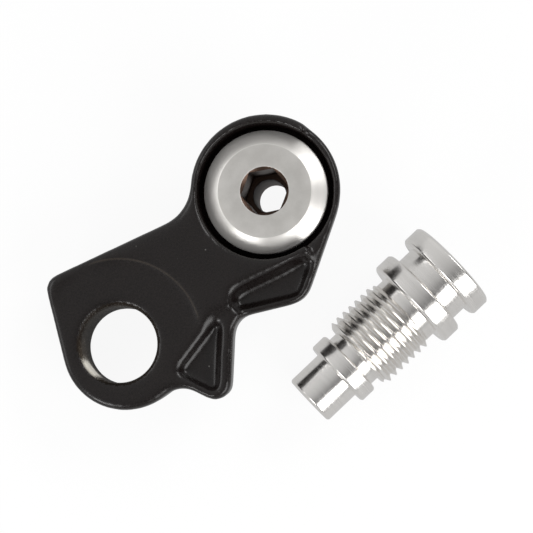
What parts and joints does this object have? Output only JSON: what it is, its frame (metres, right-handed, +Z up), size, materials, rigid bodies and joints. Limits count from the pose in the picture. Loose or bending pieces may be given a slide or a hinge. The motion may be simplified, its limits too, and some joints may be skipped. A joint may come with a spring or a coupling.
{
  "type": "derailleur hanger",
  "caption": "Black forged derailleur hanger with a round eye, captive hollow frame bolt, ribbed stop tabs and a plain derailleur hole, with its silver threaded axle bolt lying beside it.",
  "frame": {"origin": "middle of the set's bounding box, on the table that the set lies on", "axes": "+Z up from the table, +X along the longest side from the lobe towards the axle bolt, +Y from the tabs towards the eye"},
  "size_m": [0.0534, 0.0356, 0.0157],
  "materials": {
    "black_forging": "satin black anodised forging",
    "bolt_steel": "fine bead-blasted face with a turned cone",
    "ring_steel": "plain spring steel",
    "axle_steel": "bright turned"
  },
  "bodies": {
    "hanger": {"bracket": "black_forging", "axle_bolt": "axle_steel"},
    "bolt": {"frame_bolt": "bolt_steel", "retaining_ring": "ring_steel"}
  },
  "joints": [
    {"name": "bolt_turn", "type": "hinge", "parent": "hanger", "child": "bolt", "pos_m": [0.0003, 0.00893, 0.00649], "axis": [-0.2304, -0.0614, 0.9712], "continuous": true}
  ]
}
